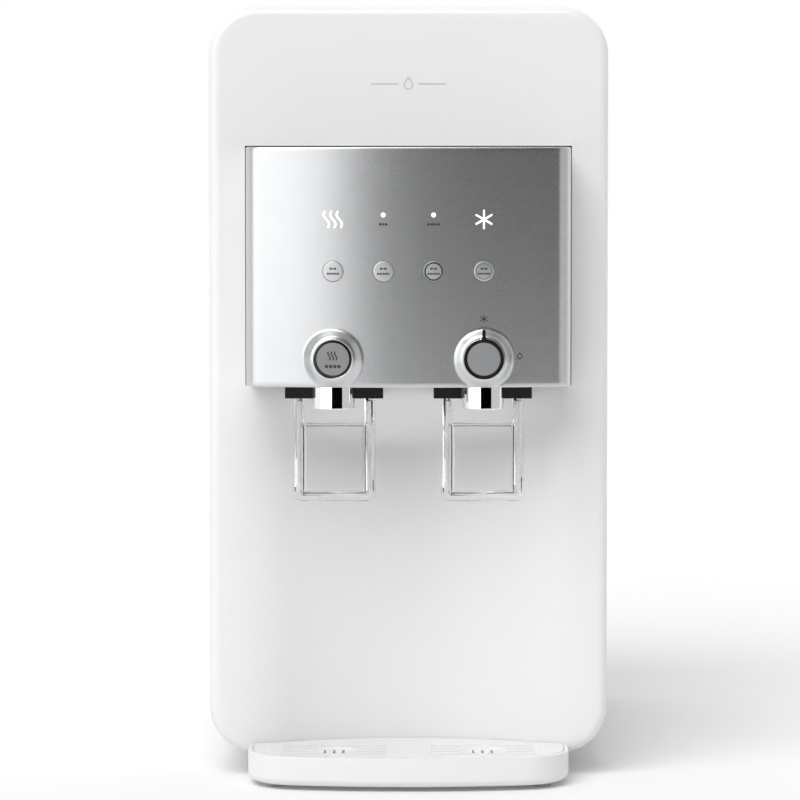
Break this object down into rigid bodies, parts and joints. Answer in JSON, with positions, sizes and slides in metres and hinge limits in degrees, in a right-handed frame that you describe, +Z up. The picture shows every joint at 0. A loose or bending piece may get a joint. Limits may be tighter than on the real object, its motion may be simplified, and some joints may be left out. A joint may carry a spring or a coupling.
{
  "type": "countertop water dispenser",
  "caption": "Countertop hot and cold water dispenser with a silver control head, taps worked by clear levers, a selector knob and a white drip tray.",
  "frame": {"origin": "on the table top, at the middle of the machine's footprint, tray and rear spacers included", "axes": "+Z up, the front with the taps faces -Y, +X to the right as seen from the front"},
  "size_m": [0.26, 0.48, 0.503],
  "materials": {
    "white_gloss": "glossy moulded white",
    "white_satin": "fine satin white",
    "silver_satin": "satin silver metallic",
    "chrome": "mirror bright",
    "black_plastic": "satin black",
    "clear_plastic": "clear moulded",
    "grey_button": "satin grey",
    "silver_button": "satin silver grey",
    "black_rubber": "matt",
    "pale_rubber": "matt",
    "stainless": "brushed",
    "spring_steel": "drawn wire",
    "zinc_steel": "zinc plated",
    "black_enamel": "semi-gloss enamel",
    "copper": "drawn tube",
    "foam": "expanded foam",
    "tank_plastic": "translucent white",
    "filter_white": "smooth",
    "filter_blue": "smooth",
    "circuit_board": "solder mask",
    "light_white": "backlit white",
    "tube_white": "polyethylene tube"
  },
  "bodies": {
    "root": {"front_fascia": "white_gloss", "left_side_panel": "white_satin", "right_side_panel": "white_satin", "rear_panel": "white_satin", "wall_spacers": "white_satin", "rear_panel_screws": "zinc_steel", "base_pan": "black_plastic", "rubber_feet": "black_rubber", "tank_shelf": "zinc_steel", "sediment_filter": "filter_white", "carbon_filter": "filter_white", "post_carbon_filter": "filter_white", "filter_manifold": "filter_blue", "hot_tank": "stainless", "band_heater": "stainless", "cold_tank": "stainless", "evaporator_coil": "copper", "cold_tank_insulation": "foam", "ambient_tank": "tank_plastic", "compressor_grommets": "black_rubber", "compressor": "black_enamel", "condenser": "black_enamel", "tube_fittings": "white_satin", "inlet_solenoid_valve": "white_satin", "water_tubes": "tube_white", "power_board": "circuit_board", "power_inlet": "black_plastic", "head_panel": "silver_satin", "head_trim_frame": "black_plastic", "head_housing": "white_gloss", "head_base_plate": "black_plastic", "lever_brackets": "black_plastic", "hot_spout": "chrome", "valve_bodies": "white_satin", "hot_valve_spring": "spring_steel", "cold_spout": "chrome", "cold_valve_spring": "spring_steel", "lever_pins": "stainless", "hot_button_ring": "chrome", "hot_button_spring": "spring_steel", "icon_light_guides": "light_white", "status_led_lenses": "light_white", "display_board": "circuit_board"},
    "hot_lever": {"hot_lever": "clear_plastic"},
    "cold_lever": {"cold_lever": "clear_plastic"},
    "hot_plunger": {"hot_valve_plunger": "white_satin"},
    "cold_plunger": {"cold_valve_plunger": "white_satin"},
    "hot_button": {"hot_push_button": "grey_button"},
    "knob": {"selector_knob": "chrome", "selector_knob_cap": "grey_button"},
    "hot_power": {"hot_power_button": "silver_button"},
    "energy_save": {"energy_save_button": "silver_button"},
    "child_lock": {"child_lock_button": "silver_button"},
    "cold_power": {"cold_power_button": "silver_button"},
    "tray": {"drip_tray": "white_gloss", "tray_tongues": "white_gloss", "tray_pads": "pale_rubber"},
    "grille": {"drip_grille": "white_gloss"},
    "cover": {"top_cover": "white_satin"},
    "rocker": {"power_rocker": "black_plastic"}
  },
  "joints": [
    {"name": "hot_lever_hinge", "type": "hinge", "parent": "root", "child": "hot_lever", "pos_m": [-0.048, -0.19, 0.2545], "axis": [1, 0, 0], "range_deg": [0, 15], "stiffness_Nm_per_rad": 0.25, "springref_deg": -8.59},
    {"name": "hot_plunger_slide", "type": "slide", "parent": "root", "child": "hot_plunger", "axis": [0, -1, 0], "range_m": [0, 0.0042], "stiffness_N_per_m": 150, "springref_m": -0.001, "deforming": ["hot_valve_spring"]},
    {"name": "cold_lever_hinge", "type": "hinge", "parent": "root", "child": "cold_lever", "pos_m": [0.048, -0.19, 0.2545], "axis": [1, 0, 0], "range_deg": [0, 15], "stiffness_Nm_per_rad": 0.25, "springref_deg": -8.59},
    {"name": "cold_plunger_slide", "type": "slide", "parent": "root", "child": "cold_plunger", "axis": [0, -1, 0], "range_m": [0, 0.0042], "stiffness_N_per_m": 150, "springref_m": -0.001, "deforming": ["cold_valve_spring"]},
    {"name": "hot_button_press", "type": "slide", "parent": "root", "child": "hot_button", "axis": [0, 1, 0], "range_m": [0, 0.0022], "stiffness_N_per_m": 400, "springref_m": -0.001, "deforming": ["hot_button_spring"]},
    {"name": "selector_turn", "type": "hinge", "parent": "root", "child": "knob", "pos_m": [0.048, -0.239, 0.2774], "axis": [0, 1, 0], "range_deg": [0, 90]},
    {"name": "hot_power_press", "type": "slide", "parent": "root", "child": "hot_power", "axis": [0, 1, 0], "range_m": [0, 0.0008], "stiffness_N_per_m": 600, "springref_m": -0.0005},
    {"name": "energy_save_press", "type": "slide", "parent": "root", "child": "energy_save", "axis": [0, 1, 0], "range_m": [0, 0.0008], "stiffness_N_per_m": 600, "springref_m": -0.0005},
    {"name": "child_lock_press", "type": "slide", "parent": "root", "child": "child_lock", "axis": [0, 1, 0], "range_m": [0, 0.0008], "stiffness_N_per_m": 600, "springref_m": -0.0005},
    {"name": "cold_power_press", "type": "slide", "parent": "root", "child": "cold_power", "axis": [0, 1, 0], "range_m": [0, 0.0008], "stiffness_N_per_m": 600, "springref_m": -0.0005},
    {"name": "tray_slide", "type": "slide", "parent": "root", "child": "tray", "axis": [0, -1, 0], "range_m": [0, 0.12]},
    {"name": "grille_lift", "type": "slide", "parent": "tray", "child": "grille", "axis": [0, 0, 1], "range_m": [0, 0.08]},
    {"name": "cover_lift", "type": "slide", "parent": "root", "child": "cover", "axis": [0, 0, 1], "range_m": [0, 0.06]},
    {"name": "rocker_tip", "type": "hinge", "parent": "root", "child": "rocker", "pos_m": [0.095, 0.222, 0.143], "axis": [1, 0, 0], "range_deg": [-14, 0]}
  ],
  "couplings": [
    {"joint": "hot_plunger_slide", "follows": "hot_lever_hinge", "m_per_rad": 0.016},
    {"joint": "cold_plunger_slide", "follows": "cold_lever_hinge", "m_per_rad": 0.016}
  ]
}
